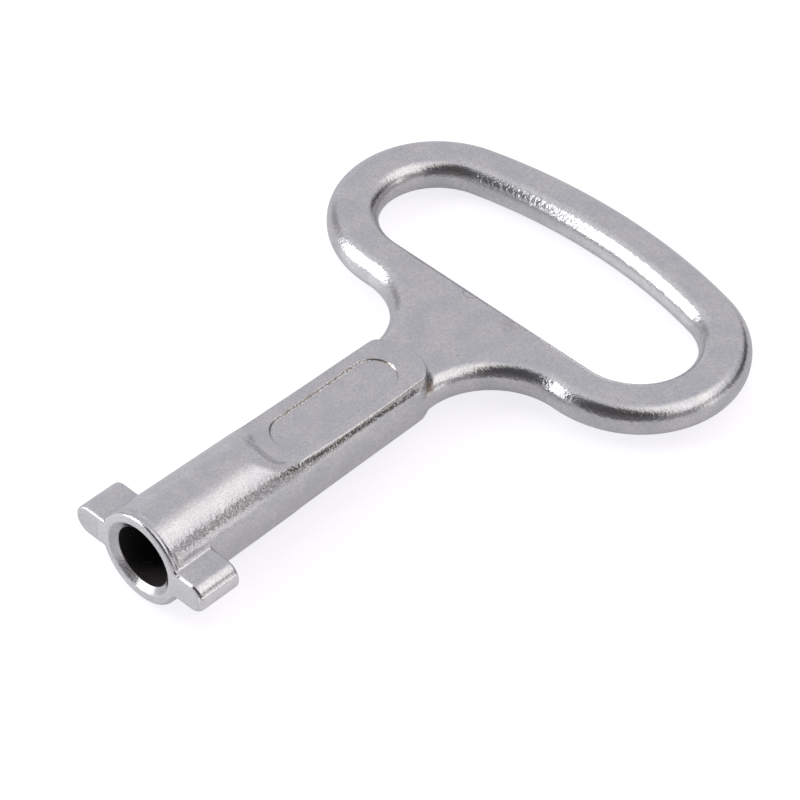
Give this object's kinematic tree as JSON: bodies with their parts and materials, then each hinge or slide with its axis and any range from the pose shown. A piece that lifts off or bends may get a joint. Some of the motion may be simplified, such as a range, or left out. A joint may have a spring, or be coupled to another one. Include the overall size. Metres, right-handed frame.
{
  "type": "double-bit socket key",
  "caption": "Cast key with a D-shaped finger loop, a tapered shank with a sunk panel on each flat, and a tip with a round blind bore between opposed bits.",
  "frame": {"origin": "centre of the bore's mouth, on the end face of the tip", "axes": "+Y along the shank from the tip to the finger loop, +X across the loop through the right bit, +Z square to the loop's flat"},
  "size_m": [0.0534, 0.0734, 0.0108],
  "materials": {
    "nickel_plate": "satin nickel plate over a zinc casting",
    "nickel_plate_bore": "satin nickel plate, thin and dull inside the bore"
  },
  "bodies": {
    "root": {"finger_loop": "nickel_plate", "web": "nickel_plate", "shank": "nickel_plate", "barrel": "nickel_plate_bore", "right_bit": "nickel_plate", "left_bit": "nickel_plate"}
  },
  "joints": []
}
